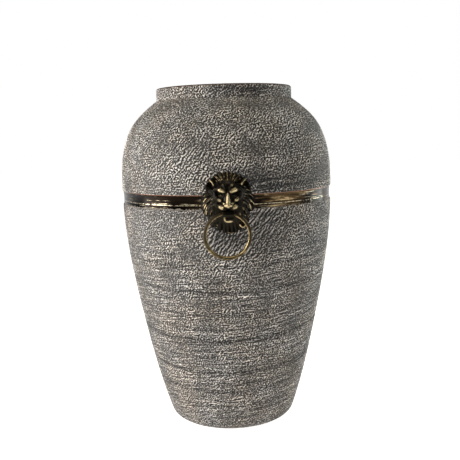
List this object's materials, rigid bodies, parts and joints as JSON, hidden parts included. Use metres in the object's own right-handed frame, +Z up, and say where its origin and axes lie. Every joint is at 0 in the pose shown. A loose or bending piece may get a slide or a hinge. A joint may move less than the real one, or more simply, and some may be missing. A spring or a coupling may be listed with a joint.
{
  "type": "urn vase",
  "caption": "Tall shouldered ceramic urn vase with a short collar, a sunk glazed band and lion-mask ring handles at front and rear.",
  "frame": {"origin": "middle of the footprint, on the surface that the vase stands on", "axes": "+Z up along the vase's axis, -Y out through the front lion mask, +X to the right seen from the front"},
  "size_m": [0.251, 0.2918, 0.4],
  "materials": {
    "vase_coat": "rough combed coat, dry-brushed, with a smooth dark glazed band",
    "mask_metal": "blackened, rubbed bright on the high points",
    "ring_metal": "blackened, rubbed bright",
    "bedding_rubber": "matte",
    "plated_steel": "zinc plated",
    "sealing_rubber": "matte",
    "felt": "pressed felt"
  },
  "bodies": {
    "vase": {"vase_body": "vase_coat", "felt_pads": "felt", "front_lion_mask": "mask_metal", "front_mask_bedding": "bedding_rubber", "front_mask_stud": "plated_steel", "front_sealing_washer": "sealing_rubber", "front_steel_washer": "plated_steel", "front_stud_nut": "plated_steel", "rear_lion_mask": "mask_metal", "rear_mask_bedding": "bedding_rubber", "rear_mask_stud": "plated_steel", "rear_sealing_washer": "sealing_rubber", "rear_steel_washer": "plated_steel", "rear_stud_nut": "plated_steel"},
    "front_ring": {"front_handle_ring": "ring_metal"},
    "rear_ring": {"rear_handle_ring": "ring_metal"}
  },
  "joints": [
    {"name": "front_ring_swing", "type": "hinge", "parent": "vase", "child": "front_ring", "pos_m": [0, -0.13666, 0.2643], "axis": [-1, 0, 0], "range_deg": [-12, 130]},
    {"name": "rear_ring_swing", "type": "hinge", "parent": "vase", "child": "rear_ring", "pos_m": [0, 0.13666, 0.2643], "axis": [1, 0, 0], "range_deg": [-12, 130]}
  ]
}
